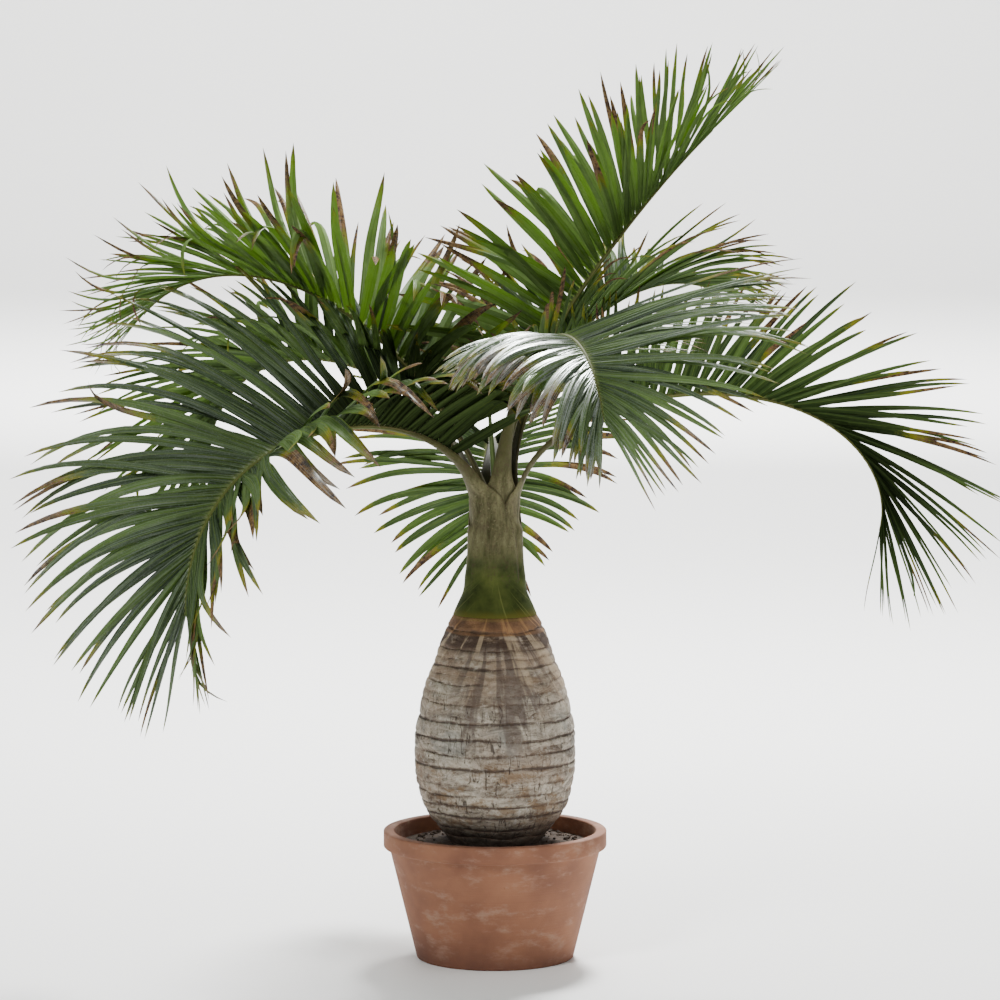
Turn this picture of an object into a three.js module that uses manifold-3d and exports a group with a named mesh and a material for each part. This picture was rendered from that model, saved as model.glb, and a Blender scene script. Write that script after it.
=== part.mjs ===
// A bottle palm in a plain pot: swollen ringed trunk, green crownshaft, spear leaf and eight feather fronds.
// Millimetres, +Z up, the origin at the middle of the pot's base, -Y towards the viewer.
import * as THREE from 'three';
import { mergeVertices } from 'three/addons/utils/BufferGeometryUtils.js';
import Module from 'manifold-3d';

const wasm = await Module();
wasm.setup();

// Pot and soil
const sides = 24;
const potHeight = 260;
const potRimRadius = 225;
const potRimDepth = 36;
const potRimStep = 12;
const potRimWidth = 21;
const potEdge = 4;
const potBaseRadius = 158;
const potWall = 11;
const potFloor = 14;
const drainCount = 4;
const drainSides = 10;
const drainRadius = 9;
const drainCircle = 85;
const soilDrop = 22;
const soilFall = 8;
const soilShoulder = 40;
const gap = 0.3;

// Trunk, measured from the soil up: its heights and radii, and the heights of its ring scars
const soilLevel = potHeight - soilDrop;
const footDepth = 45;
const footRadius = 66;
const trunkHeight = 460;
const bottle = [
  [0, 91], [20, 106], [50, 130], [80, 146], [115, 154.5], [150, 160], [190, 161.5], [226, 159],
  [256, 151], [290, 143.5], [327, 132], [362, 118], [400, 104], [434, 93], [460, 85],
];
const ringScars = [20, 39, 66, 89, 110, 133, 167, 194, 224, 257, 294, 333, 364, 398, 434];
const scarDepth = 3;
const scarBelow = 4;
const scarAbove = 1;

// Crownshaft, measured from the soil up, with the margins of the leaf bases that wrap it
const crownTop = 700;
const crownshaft = [
  [460, 84], [478, 77], [500, 68.5], [525, 61.5], [555, 56.5], [590, 54], [630, 53.5], [665, 53.5], [690, 55],
];
const marginCount = 3;
const marginLip = 3.5;
const marginTurn = 0.35;
const marginPhase = 0.55;
const mouthDip = 6;
const mouthWall = 6;

// Stalks: width and thickness from the seat to the tip, in five-sided sections
const stalkSides = 5;
const stalkWidth = [28, 17, 12.5, 8.5, 3.5];
const stalkThickness = [13, 12, 10, 7, 3];
const stalkSteps = 120;
const stalkStride = 10;
const turnGathering = 1.5;
const seatDepth = 38;
const seatBend = 8;

// Spear leaf
const spearRadius = 6;
const spearRise = 210;
const spearLean = 14;
const spearShape = [[-seatDepth, 0.9], [0, 1], [0.6 * spearRise, 0.7]];

// Leaflets: one in every leafletStride of a frond's count on each side is built
const leafletStride = 2;
const leafletSteps = 8;
const leafletStations = [0, 4];
const leafletHalfWidth = [3.5, 9.5];
const leafletRidge = 2.2;
const leafletTwist = 28;
const rootOffset = 0.2;
const crowding = 0.95;
const handShift = 0.25;
const angleSpread = 8;
const liftSpread = 8;
const reachRange = [0.9, 1.06];
const droopRange = [0.6, 1.5];
const droopGathering = 1.8;
const keepClear = 2;
const dodges = [0, 7, -7, 14, -14, 21, -21];
const shortenings = [1, 0.8, 0.6, 0.42];

// One entry for each frond, angles in degrees, each list read evenly from the crown to the tip.
// seat: direction and distance from the axis; heading: compass direction; climb: angle above the horizon.
// Leaflets: count on each side, first place along the stalk, reach, angle to the stalk, lift above its
// sides, droop and roll. uneven: one hand's shares of the reach, angle and droop, and its added lift.
// stride: the frond's own, where it is built with fewer leaflets than the others.
const even = { reach: 1, angle: 1, lift: 0, droop: 1 };
const fronds = {
  frond_front_left: {
    seat: [217, 40], heading: [217, 244], climb: [65, 4, -26, -89], length: 1010, count: 46, first: 0.13,
    reach: [330, 490, 240], angle: [90, 58, 16], lift: [44, 35, 34], droop: [0.08, 0.7, 0.5], roll: [10, 10],
    uneven: { ...even, hand: 1, reach: 0.85, lift: 4 },
  },
  frond_high_left: {
    seat: [180, 16], heading: [176, 191], climb: [69, 48, 17, -51], length: 910, count: 46, first: 0.15,
    reach: [320, 430, 170], angle: [92, 62, 30], lift: [50, 24, 12], droop: [0.2, 0.2], roll: [0, 0],
  },
  frond_back_left: {
    seat: [157, 40], heading: [161, 160], climb: [70, 32, -17, -100], length: 820, count: 46, first: 0.25,
    reach: [300, 400, 210], angle: [82, 64, 16], lift: [50, 32, 26], droop: [0.42, 0.42], roll: [8, 8],
  },
  frond_upright: {
    seat: [0, 16], heading: [3, 14], climb: [90, 63, 52, 43], length: 860, count: 32, first: 0.3,
    reach: [370, 335, 235], angle: [98, 62, 12], lift: [66, 50, 25], droop: [0.3, 0.1], roll: [15, -10],
    uneven: { ...even, hand: -1, reach: 0.9 },
  },
  frond_front: {
    seat: [286, 40], heading: [286, 283], climb: [81, 35, 0, -60], length: 960, count: 46, first: 0.37,
    reach: [300, 460, 210], angle: [82, 74, 26], lift: [14, 31, 46], droop: [0.4, 0.4], roll: [8, 8],
    uneven: { ...even, hand: -1, reach: 0.66, angle: 0.72, lift: -30, droop: 2.4 },
  },
  frond_right: {
    seat: [347, 40], heading: [355, 339], climb: [73, 14, -19, -106], length: 970, count: 46, first: 0.18,
    reach: [280, 285, 370, 160], angle: [60, 62, 20, 12], lift: [64, 58, 40], droop: [0.1, 0.2], roll: [0, 0],
  },
  frond_back_right: {
    seat: [38, 40], heading: [33, 57], climb: [90, 49, 14, -16], length: 820, count: 36, first: 0.18,
    stride: 3,
    reach: [330, 330, 160], angle: [76, 46, 22], lift: [58, 33, 20], droop: [0.6, 0.6], roll: [0, 0],
    uneven: { ...even, hand: 1, reach: 0.85 },
  },
  frond_back: {
    seat: [93, 40], heading: [91, 97], climb: [60, -6, -29, -84], length: 790, count: 34, first: 0.18,
    reach: [272, 384, 160], angle: [82, 62, 42], lift: [42, 26, 18], droop: [0.47, 0.47], roll: [0, 0],
  },
};

const colours = {
  pot: [0xb0694a, 0.85],
  soil: [0x3d2e24, 0.95],
  trunk: [0xa39a8c, 0.9],
  crownshaft: [0x6c7644, 0.6],
  spear: [0x7f9a3c, 0.5],
  frond: [0x2f4d2a, 0.45],
};

const vector = (x, y, z) => new THREE.Vector3(x, y, z);
const radians = THREE.MathUtils.degToRad;

// A repeatable draw from 0 to 1
function draw(key, seed) {
  const value = Math.sin(key * 12.9898 + seed * 78.233) * 43758.5453;
  return value - Math.floor(value);
}

// The smooth curve through evenly spaced values, read at u from 0 to 1
function through(values, u) {
  const last = values.length - 1;
  let sum = 0;
  values.forEach((value, i) => {
    let weight = 1;
    values.forEach((other, j) => {
      if (j !== i) weight *= (u * last - j) / (i - j);
    });
    sum += value * weight;
  });
  return sum;
}

// Straight lines between evenly spaced values, read at u from 0 to 1
function between(values, u) {
  const place = Math.min(u, 1) * (values.length - 1);
  const i = Math.min(Math.floor(place), values.length - 2);
  return THREE.MathUtils.lerp(values[i], values[i + 1], place - i);
}

// Straight lines through a list of [height, radius], read at any height
function radiusAt(profile, height) {
  const i = Math.max(1, profile.findIndex(([level]) => level >= height));
  const [low, lowRadius] = profile[i - 1];
  const [high, highRadius] = profile[i];
  return THREE.MathUtils.mapLinear(height, low, high, lowRadius, highRadius);
}

// A closed surface with shared corners and no collapsed triangle
function closedGeometry(geometry) {
  geometry.deleteAttribute('normal');
  geometry.deleteAttribute('uv');
  const merged = mergeVertices(geometry);
  const corners = [];
  const index = merged.index.array;
  for (let i = 0; i < index.length; i += 3) {
    const [a, b, c] = [index[i], index[i + 1], index[i + 2]];
    if (a !== b && b !== c && c !== a) corners.push(a, b, c);
  }
  merged.setIndex(corners);
  return merged;
}

function toSolid(geometry) {
  const merged = closedGeometry(geometry);
  return new wasm.Manifold(new wasm.Mesh({
    numProp: 3,
    vertProperties: new Float32Array(merged.attributes.position.array),
    triVerts: new Uint32Array(merged.index.array),
  }));
}

function toGeometry(solid) {
  const mesh = solid.getMesh();
  const geometry = new THREE.BufferGeometry();
  geometry.setAttribute('position', new THREE.BufferAttribute(new Float32Array(mesh.vertProperties), 3));
  geometry.setIndex(new THREE.BufferAttribute(new Uint32Array(mesh.triVerts), 1));
  geometry.computeVertexNormals();
  return geometry;
}

function toMesh(name, solid, kind) {
  const [color, roughness] = colours[kind];
  const material = new THREE.MeshStandardMaterial({ color, roughness, metalness: 0, flatShading: true });
  const mesh = new THREE.Mesh(toGeometry(solid), material);
  mesh.name = name;
  return mesh;
}

// A turned body about the Z axis from [radius, height] points, bottom first
function turned(points) {
  const profile = points.map(([radius, height]) => new THREE.Vector2(radius, height));
  const geometry = new THREE.LatheGeometry(profile, sides);
  geometry.rotateX(Math.PI / 2);
  return toSolid(geometry);
}

// A skin over rings with the same number of points, its far end flat or drawn to a tip
function lofted(rings, tip) {
  const count = rings[0].length;
  const points = rings.flat();
  const corners = [];
  for (let r = 0; r < rings.length - 1; r += 1) {
    for (let i = 0; i < count; i += 1) {
      const j = (i + 1) % count;
      const [a, b] = [r * count + i, r * count + j];
      corners.push(a, b, b + count, a, b + count, a + count);
    }
  }
  const end = (rings.length - 1) * count;
  for (let i = 1; i < count - 1; i += 1) corners.push(0, i + 1, i);
  if (tip) {
    points.push(tip);
    for (let i = 0; i < count; i += 1) corners.push(end + i, end + (i + 1) % count, points.length - 1);
  } else {
    for (let i = 1; i < count - 1; i += 1) corners.push(end, end + i, end + i + 1);
  }
  const geometry = new THREE.BufferGeometry().setFromPoints(points);
  geometry.setIndex(corners);
  return toSolid(geometry);
}

// A level ring about the axis, its radius given by the direction
function levelRing(height, radiusOf) {
  return Array.from({ length: sides }, (_, i) => {
    const turn = (i / sides) * 2 * Math.PI;
    const radius = radiusOf(turn);
    return vector(radius * Math.cos(turn), radius * Math.sin(turn), height);
  });
}

// The pot's outer radius under its rim at a height
function potRadius(height) {
  const top = potRimRadius - potRimStep;
  return THREE.MathUtils.mapLinear(height, 0, potHeight - potRimDepth, potBaseRadius, top);
}

// The pot's inner radius at a height, from its floor up to the rim
function innerRadius(height) {
  const low = potRadius(potFloor) - potWall;
  const high = potRimRadius - potRimWidth - potEdge;
  return THREE.MathUtils.mapLinear(height, potFloor, potHeight - potEdge, low, high);
}

function makePot() {
  const rimFoot = potHeight - potRimDepth;
  const shell = turned([
    [0, 0], [potBaseRadius - potEdge, 0], [potBaseRadius, potEdge], [potRadius(rimFoot), rimFoot],
    [potRimRadius - potEdge, rimFoot], [potRimRadius, rimFoot + potEdge],
    [potRimRadius, potHeight - potEdge], [potRimRadius - potEdge, potHeight],
    [potRimRadius - potRimWidth, potHeight], [innerRadius(potHeight - potEdge), potHeight - potEdge],
    [innerRadius(potFloor), potFloor], [0, potFloor],
  ]);
  let pot = shell;
  for (let i = 0; i < drainCount; i += 1) {
    const turn = ((i + 0.5) / drainCount) * 2 * Math.PI;
    const drain = new THREE.CylinderGeometry(drainRadius, drainRadius, potFloor * 3, drainSides);
    drain.rotateX(Math.PI / 2);
    drain.translate(drainCircle * Math.cos(turn), drainCircle * Math.sin(turn), potFloor / 2);
    pot = pot.subtract(toSolid(drain));
  }
  return pot;
}

function makeSoil() {
  const edge = soilLevel - soilFall;
  const holeFloor = soilLevel - footDepth - gap;
  const lip = bottle[0][1] + 2 * gap;
  return turned([
    [0, potFloor + gap], [innerRadius(potFloor) - 2 * gap, potFloor + gap],
    [innerRadius(edge) - 2 * gap, edge], [innerRadius(edge) - soilShoulder, soilLevel - soilFall / 4],
    [lip, soilLevel - 2 * gap], [footRadius + gap, holeFloor], [0, holeFloor],
  ]);
}

// The bottle's own heights with two more at every ring scar, bottom first
function trunkLevels() {
  const nearScar = (height) => ringScars.some((scar) => Math.abs(scar - height) < 2 * scarBelow);
  const plain = bottle.map(([height]) => height);
  const kept = plain.filter((height, i) => i === 0 || i === plain.length - 1 || !nearScar(height));
  const scars = ringScars.flatMap((scar) => [scar - scarBelow, scar + scarAbove]);
  return [...kept, ...scars].sort((a, b) => a - b);
}

function makeTrunk() {
  const scarBottoms = ringScars.map((scar) => scar + scarAbove);
  const surface = trunkLevels().map((height) => {
    const depth = scarBottoms.includes(height) ? scarDepth : 0;
    return [radiusAt(bottle, height) - depth, soilLevel + height];
  });
  const foot = [[0, soilLevel - footDepth], [footRadius, soilLevel - footDepth]];
  return turned([...foot, ...surface, [0, soilLevel + trunkHeight]]);
}

// The raised margins of the wrapped leaf bases: each swells slowly round the tube, then drops
function marginHeight(turn, height) {
  const climbed = (height - trunkHeight) / (crownTop - trunkHeight);
  const round = (turn / (2 * Math.PI)) * marginCount + climbed * marginTurn + marginPhase;
  return marginLip * Math.min(1, 2 * climbed) * (round - Math.floor(round));
}

function makeCrownshaft(seats) {
  const rings = crownshaft.map(([height, radius], i) => {
    const lift = i === 0 ? gap : 0;
    return levelRing(soilLevel + height + lift, (turn) => radius - marginLip + marginHeight(turn, height));
  });
  const rim = crownshaft[crownshaft.length - 1][1] - mouthWall;
  rings.push(levelRing(soilLevel + crownTop, () => rim));
  rings.push(levelRing(soilLevel + crownTop - mouthDip, () => rim / 2));
  return seats.reduce((body, seat) => body.subtract(seat), lofted(rings));
}

// Even steps along a frond's stalk, each with its point and its forward, up and side directions
function walkStalk(frond) {
  const [direction, distance] = frond.seat;
  const turn = radians(direction);
  const place = vector(distance * Math.cos(turn), distance * Math.sin(turn), soilLevel + crownTop);
  const stride = frond.length / stalkSteps;
  const steps = [];
  for (let i = 0; i <= stalkSteps; i += 1) {
    const s = i / stalkSteps;
    const climb = radians(through(frond.climb, s));
    const heading = radians(THREE.MathUtils.lerp(...frond.heading, s ** turnGathering));
    const level = vector(Math.cos(heading), Math.sin(heading), 0);
    const forward = level.clone().multiplyScalar(Math.cos(climb)).setZ(Math.sin(climb));
    const up = level.clone().multiplyScalar(-Math.sin(climb)).setZ(Math.cos(climb));
    const side = up.clone().cross(forward);
    if (i > 0) {
      place.addScaledVector(forward.clone().add(steps[i - 1].forward), stride / 2);
    }
    steps.push({ point: place.clone(), forward, up, side });
  }
  return steps;
}

// The stalk's frame at any place s from 0 at the crown to 1 at the tip, between two of its sections
function stalkAt(steps, s) {
  const place = Math.min(s * stalkSteps, stalkSteps - 0.001);
  const i = Math.floor(place / stalkStride) * stalkStride;
  const [near, far] = [steps[i], steps[i + stalkStride]];
  const blend = (name) => near[name].clone().lerp(far[name], (place - i) / stalkStride);
  const forward = blend('forward').normalize();
  const up = blend('up').normalize();
  return { point: blend('point'), forward, up, side: up.clone().cross(forward).normalize() };
}

function stalkRing(frame, width, thickness) {
  return Array.from({ length: stalkSides }, (_, i) => {
    const turn = (i / stalkSides) * 2 * Math.PI;
    return frame.point.clone()
      .addScaledVector(frame.side, (width / 2) * Math.cos(turn))
      .addScaledVector(frame.up, (thickness / 2) * Math.sin(turn));
  });
}

// A stalk from its seat down in the crownshaft to its tip, wider all round by margin
function makeStalk(steps, margin = 0) {
  const start = steps[0];
  const upright = { side: start.side, up: vector(0, 0, 1).cross(start.side) };
  const rings = [-seatDepth - margin, -seatBend].map((drop) => {
    const point = start.point.clone().add(vector(0, 0, drop));
    return stalkRing({ ...upright, point }, stalkWidth[0] + 2 * margin, stalkThickness[0] + 2 * margin);
  });
  for (let i = stalkStride; i <= stalkSteps; i += stalkStride) {
    const s = i / stalkSteps;
    const [width, thickness] = [between(stalkWidth, s), between(stalkThickness, s)];
    rings.push(stalkRing(steps[i], width + 2 * margin, thickness + 2 * margin));
  }
  return lofted(rings);
}

// A leaflet's middle line and the directions across it and up from it, bent down by its own weight
function leafletLine(frond, steps, seed, i, hand, dodge) {
  const u = Math.min((i + 0.5 + (hand < 0 ? handShift : 0)) / frond.count, 1);
  const own = frond.uneven?.hand === hand ? frond.uneven : even;
  const s = frond.first + (1 - frond.first) * u ** crowding;
  const base = stalkAt(steps, s);
  const roll = radians(through(frond.roll, u));
  const up = base.up.clone().multiplyScalar(Math.cos(roll)).addScaledVector(base.side, Math.sin(roll));
  const side = base.side.clone().multiplyScalar(Math.cos(roll)).addScaledVector(base.up, -Math.sin(roll));
  const key = 2 * i + (hand > 0 ? 1 : 0);
  const angle = radians(through(frond.angle, u) * own.angle + angleSpread * (draw(key, seed) - 0.5));
  const spread = liftSpread * (draw(key, seed + 1) - 0.5);
  const lift = radians(through(frond.lift, u) + own.lift + spread + dodge.lift);
  const fullReach = through(frond.reach, u) * between(reachRange, draw(key, seed + 2));
  const reach = fullReach * own.reach * dodge.scale;
  const droop = through(frond.droop, u) * own.droop * between(droopRange, draw(key, seed + 3));
  const outward = base.forward.clone().multiplyScalar(Math.cos(angle))
    .addScaledVector(side, Math.sin(angle) * hand * Math.cos(lift))
    .addScaledVector(up, Math.sin(angle) * Math.sin(lift));
  const twist = radians(leafletTwist) * hand;
  const line = [];
  const place = base.point.clone().addScaledVector(side, rootOffset * hand * between(stalkWidth, s));
  const width = base.forward.clone().multiplyScalar(-hand);
  for (let n = 0; n <= leafletSteps; n += 1) {
    const t = (n + 0.5) / leafletSteps;
    const along = outward.clone().add(vector(0, 0, -droop * t ** droopGathering)).normalize();
    width.addScaledVector(along, -width.dot(along)).normalize();
    const across = width.clone().applyAxisAngle(along, twist);
    line.push({ point: place.clone(), across, over: along.clone().cross(across) });
    place.addScaledVector(along, reach / leafletSteps);
  }
  return line;
}

// A keeled blade with a three-sided section, or its roomier four-sided envelope
function makeBlade(line, margin = 0) {
  const rings = leafletStations.map((station, i) => {
    const { point, across, over } = line[station];
    const half = leafletHalfWidth[i] + margin;
    const at = (a, b) => point.clone().addScaledVector(across, a).addScaledVector(over, b);
    const ring = [at(-half, 0), at(half, 0), at(0, leafletRidge + margin)];
    return margin > 0 ? [ring[0], at(0, -margin), ring[1], ring[2]] : ring;
  });
  return lofted(rings, line[leafletSteps].point);
}

// True where two solids share some space
function meet(one, other) {
  const [a, b] = [one.box, other.box];
  const apart = [0, 1, 2].some((k) => a.min[k] > b.max[k] || b.min[k] > a.max[k]);
  return !apart && one.solid.intersect(other.solid).numTri() > 0;
}

function boxed(solid) {
  return { solid, box: solid.boundingBox() };
}

// The largest connected skin of a fused body, so that pockets between crossing blades are filled
function outerSkin(solid) {
  return solid.decompose().reduce((best, skin) => (skin.volume() > best.volume() ? skin : best));
}

// Bends a leaflet, then shortens it, until it is clear of every other piece; null if nothing helps
function clearBlade(frond, steps, seed, i, hand, obstacles) {
  for (const scale of shortenings) {
    for (const lift of dodges) {
      const line = leafletLine(frond, steps, seed, i, hand, { lift, scale });
      const envelope = boxed(makeBlade(line, keepClear));
      if (!obstacles.some((obstacle) => meet(envelope, obstacle))) return makeBlade(line);
    }
  }
  return null;
}

function makeFronds(walks, fixed) {
  const names = Object.keys(fronds);
  const stalks = names.map((name) => boxed(makeStalk(walks[name])));
  const placed = names.map(() => []);
  names.forEach((name, n) => {
    const others = [...fixed, ...stalks.filter((_, m) => m !== n), ...placed.flatMap((list) => list)];
    const { count, stride = leafletStride } = fronds[name];
    for (let i = 0; i < count; i += stride) {
      for (const hand of [1, -1]) {
        const blade = clearBlade(fronds[name], walks[name], 7 * n + 3, i, hand, others);
        if (blade) placed[n].push(boxed(blade));
      }
    }
  });
  return names.map((name, n) => {
    const solid = placed[n].reduce((body, blade) => body.add(blade.solid), stalks[n].solid);
    return [name, outerSkin(solid)];
  });
}

// The unopened young leaf: a slim rod that leans a little and narrows to a point
function makeSpear(margin = 0) {
  const rings = spearShape.map(([height, share], i) => {
    const level = i === 0 ? height - margin : height;
    const radius = spearRadius * share + margin;
    const lean = spearLean * Math.max(0, level / spearRise);
    return Array.from({ length: stalkSides }, (_, k) => {
      const turn = (k / stalkSides) * 2 * Math.PI;
      const [x, y] = [radius * Math.cos(turn) - lean, radius * Math.sin(turn) - lean / 2];
      return vector(x, y, soilLevel + crownTop + level);
    });
  });
  return lofted(rings, vector(-spearLean, -spearLean / 2, soilLevel + crownTop + spearRise));
}

const walks = Object.fromEntries(Object.entries(fronds).map(([name, frond]) => [name, walkStalk(frond)]));
const seats = [...Object.values(walks).map((steps) => makeStalk(steps, gap)), makeSpear(gap)];
const body = [
  ['pot', makePot(), 'pot'],
  ['soil', makeSoil(), 'soil'],
  ['trunk', makeTrunk(), 'trunk'],
  ['crownshaft', makeCrownshaft(seats), 'crownshaft'],
  ['spear_leaf', makeSpear(), 'spear'],
];
const crown = makeFronds(walks, body.map(([, solid]) => boxed(solid)));

const group = new THREE.Group();
body.forEach(([name, solid, kind]) => group.add(toMesh(name, solid, kind)));
crown.forEach(([name, solid]) => group.add(toMesh(name, solid, 'frond')));

export default group;
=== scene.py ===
import math
import bmesh
import bpy
from mathutils import Matrix, Vector, noise


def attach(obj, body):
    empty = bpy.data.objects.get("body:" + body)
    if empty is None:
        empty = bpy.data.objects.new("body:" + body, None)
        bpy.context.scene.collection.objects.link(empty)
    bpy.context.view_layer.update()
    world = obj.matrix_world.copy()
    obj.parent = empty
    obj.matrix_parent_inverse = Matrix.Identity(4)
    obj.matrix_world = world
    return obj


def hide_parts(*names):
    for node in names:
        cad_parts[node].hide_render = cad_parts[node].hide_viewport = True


# Potted bottle palm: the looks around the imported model, in metres; lists in mm are read through mm
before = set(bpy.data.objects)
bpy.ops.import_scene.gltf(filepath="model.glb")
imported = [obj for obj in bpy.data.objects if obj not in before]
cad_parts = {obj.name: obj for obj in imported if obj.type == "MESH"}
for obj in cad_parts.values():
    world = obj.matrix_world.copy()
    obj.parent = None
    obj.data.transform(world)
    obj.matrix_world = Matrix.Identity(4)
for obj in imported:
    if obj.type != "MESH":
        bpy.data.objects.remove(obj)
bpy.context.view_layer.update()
mm = 0.001
print("frame:", len(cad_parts), "nodes")


# reading lists and repeatable draws, the same rule as the model's own fronds

def draw(key, seed):  # from 0 to 1, always the same for one key and seed
    value = math.sin(key * 12.9898 + seed * 78.233) * 43758.5453
    return value - math.floor(value)


def through(values, u):  # the smooth curve through evenly spaced values
    last = len(values) - 1
    total = 0
    for i, value in enumerate(values):
        weight = 1
        for j in range(len(values)):
            if j != i:
                weight *= (u * last - j) / (i - j)
        total += value * weight
    return total


def between(values, u):  # straight lines between evenly spaced values
    place = min(u, 1) * (len(values) - 1)
    i = min(math.floor(place), len(values) - 2)
    return values[i] + (values[i + 1] - values[i]) * (place - i)


def smoothRead(table, x):  # a smooth curve through (x, value) pairs, level beyond both ends
    x = min(max(x, table[0][0]), table[-1][0])
    i = next((k for k in range(1, len(table)) if table[k][0] >= x), len(table) - 1)
    (x0, y0), (x1, y1) = table[i - 1], table[i]
    before, after = table[max(i - 2, 0)], table[min(i + 1, len(table) - 1)]
    slope0 = (y1 - before[1]) / (x1 - before[0])
    slope1 = (after[1] - y0) / (after[0] - x0)
    span = x1 - x0
    t = (x - x0) / span
    return ((2 * t ** 3 - 3 * t ** 2 + 1) * y0 + (t ** 3 - 2 * t ** 2 + t) * span * slope0
            + (3 * t ** 2 - 2 * t ** 3) * y1 + (t ** 3 - t ** 2) * span * slope1)


def rise(low, high, x):  # eases from 0 at low to 1 at high
    t = min(max((x - low) / (high - low), 0), 1)
    return t * t * (3 - 2 * t)


# materials

class Wire:  # a shader socket that plain arithmetic works on
    def __init__(self, finish, socket):
        self.finish = finish
        self.socket = socket

    def math(self, operation, first, second=0):
        return self.finish.add("ShaderNodeMath", {"operation": operation}, {0: first, 1: second})["Value"]

    def __add__(self, other):
        return self.math("ADD", self, other)

    def __sub__(self, other):
        return self.math("SUBTRACT", self, other)

    def __rsub__(self, other):
        return self.math("SUBTRACT", other, self)

    def __mul__(self, other):
        return self.math("MULTIPLY", self, other)

    def __truediv__(self, other):
        return self.math("DIVIDE", self, other)

    def __abs__(self):
        return self.math("ABSOLUTE", self)

    __radd__ = __add__
    __rmul__ = __mul__


class Finish:  # a material and its nodes
    def __init__(self, name):
        self.material = bpy.data.materials.new(name)
        self.material.use_nodes = True
        self.tree = self.material.node_tree
        self.tree.nodes.clear()

    def add(self, kind, settings, inputs):
        node = self.tree.nodes.new(kind)
        for key, value in settings.items():
            if key == "stops":  # a new ramp has two ends, what stands between them is added
                for place, colour in value[1:-1]:
                    node.color_ramp.elements.new(place)
                for element, (place, colour) in zip(node.color_ramp.elements, value):
                    element.position = place
                    element.color = colour
            else:
                setattr(node, key, value)
        for key, value in inputs.items():
            socket = node.inputs[key] if isinstance(key, int) else next(
                s for s in node.inputs if s.enabled and s.name == key)
            if isinstance(value, Wire):
                self.tree.links.new(value.socket, socket)
            else:
                socket.default_value = value
        return {output.name: Wire(self, output) for output in node.outputs if output.enabled}

    def place(self, scale=(1, 1, 1)):  # object coordinates, stretched
        vector = self.add("ShaderNodeTexCoord", {}, {})["Object"]
        return self.add("ShaderNodeMapping", {}, {"Vector": vector, "Scale": scale})["Vector"]

    def grain(self, vector, scale, detail=3, rough=0.55, twist=0):
        inputs = {"Vector": vector, "Scale": scale, "Detail": detail, "Roughness": rough, "Distortion": twist}
        return self.add("ShaderNodeTexNoise", {}, inputs)["Fac"]

    def vectorMath(self, operation, first, second=(0, 0, 0)):
        return self.add("ShaderNodeVectorMath", {"operation": operation}, {0: first, 1: second})

    def distance(self, here, centre):
        return self.vectorMath("DISTANCE", here, centre)["Value"]

    def aroundTrunk(self, climb):  # coordinates that follow the bearing and, by climb, the height
        flat = self.vectorMath("MULTIPLY", self.place(), (1, 1, 0))["Vector"]
        bearing = self.vectorMath("NORMALIZE", flat)["Vector"]
        height = self.vectorMath("MULTIPLY", self.place(), (0, 0, climb))["Vector"]
        return self.vectorMath("ADD", bearing, height)["Vector"]

    def ease(self, value, low, high, start=0, end=1):  # start below low, end above high
        return self.add("ShaderNodeMapRange", {"interpolation_type": "SMOOTHSTEP"}, {
            "Value": value, "From Min": low, "From Max": high, "To Min": start, "To Max": end})["Result"]

    def blotches(self, value, low, high, dark, pale, heart):  # dark to pale, then patches with a duller heart
        stops = [(low, shade(*dark)), (high, shade(*pale)), (high, shade(*heart))]
        return self.add("ShaderNodeValToRGB", {"stops": stops}, {"Fac": value})["Color"]

    def mix(self, factor, first, second):
        inputs = {"Factor": factor, "A": first, "B": second}
        return self.add("ShaderNodeMix", {"data_type": "RGBA"}, inputs)["Result"]

    def coats(self, colour, *coats):  # each is a mask and the colour it brings, one over the other
        for mask, coat in coats:
            colour = self.mix(mask, colour, shade(*coat))
        return colour

    def split(self, vector):
        return self.add("ShaderNodeSeparateXYZ", {}, {"Vector": vector})

    def relief(self, height, strength, distance):
        return self.add("ShaderNodeBump", {}, {
            "Height": height, "Strength": strength, "Distance": distance})["Normal"]

    def surface(self, inputs):
        return self.add("ShaderNodeBsdfPrincipled", {}, inputs)["BSDF"]

    def close(self, shader):
        self.add("ShaderNodeOutputMaterial", {}, {"Surface": shader})
        return self.material


def shade(red, green, blue):  # a colour as the eye reads it, turned to light
    return (*[((c / 255 + 0.055) / 1.055) ** 2.4 for c in (red, green, blue)], 1)


# making and keeping pieces

def keepPiece(name, bm, materials, node):
    bmesh.ops.recalc_face_normals(bm, faces=bm.faces)
    mesh = bpy.data.meshes.new(name)
    bm.to_mesh(mesh)
    bm.free()
    for material in materials:
        mesh.materials.append(material)
    piece = bpy.data.objects.new(name, mesh)
    bpy.context.scene.collection.objects.link(piece)
    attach(piece, "root")
    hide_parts(node)
    print(name, len(mesh.polygons), "faces")


def profileChain(bm, points, cuts):  # a (radius, height) outline in mm, each stretch cut into more
    chain = [bm.verts.new((radius * mm, 0, height * mm)) for radius, height in points]
    edges = [bm.edges.new(pair) for pair in zip(chain, chain[1:])]
    for edge, count in zip(edges, cuts):
        if count:
            bmesh.ops.subdivide_edges(bm, edges=[edge], cuts=count)


def spun(bm, around):  # the outline turned once about the upright axis
    bmesh.ops.spin(bm, geom=bm.verts[:] + bm.edges[:], axis=(0, 0, 1), cent=(0, 0, 0),
                   angle=2 * math.pi, steps=around, use_merge=True)
    bmesh.ops.remove_doubles(bm, verts=bm.verts, dist=0.00002)
    bmesh.ops.recalc_face_normals(bm, faces=bm.faces)


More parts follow.
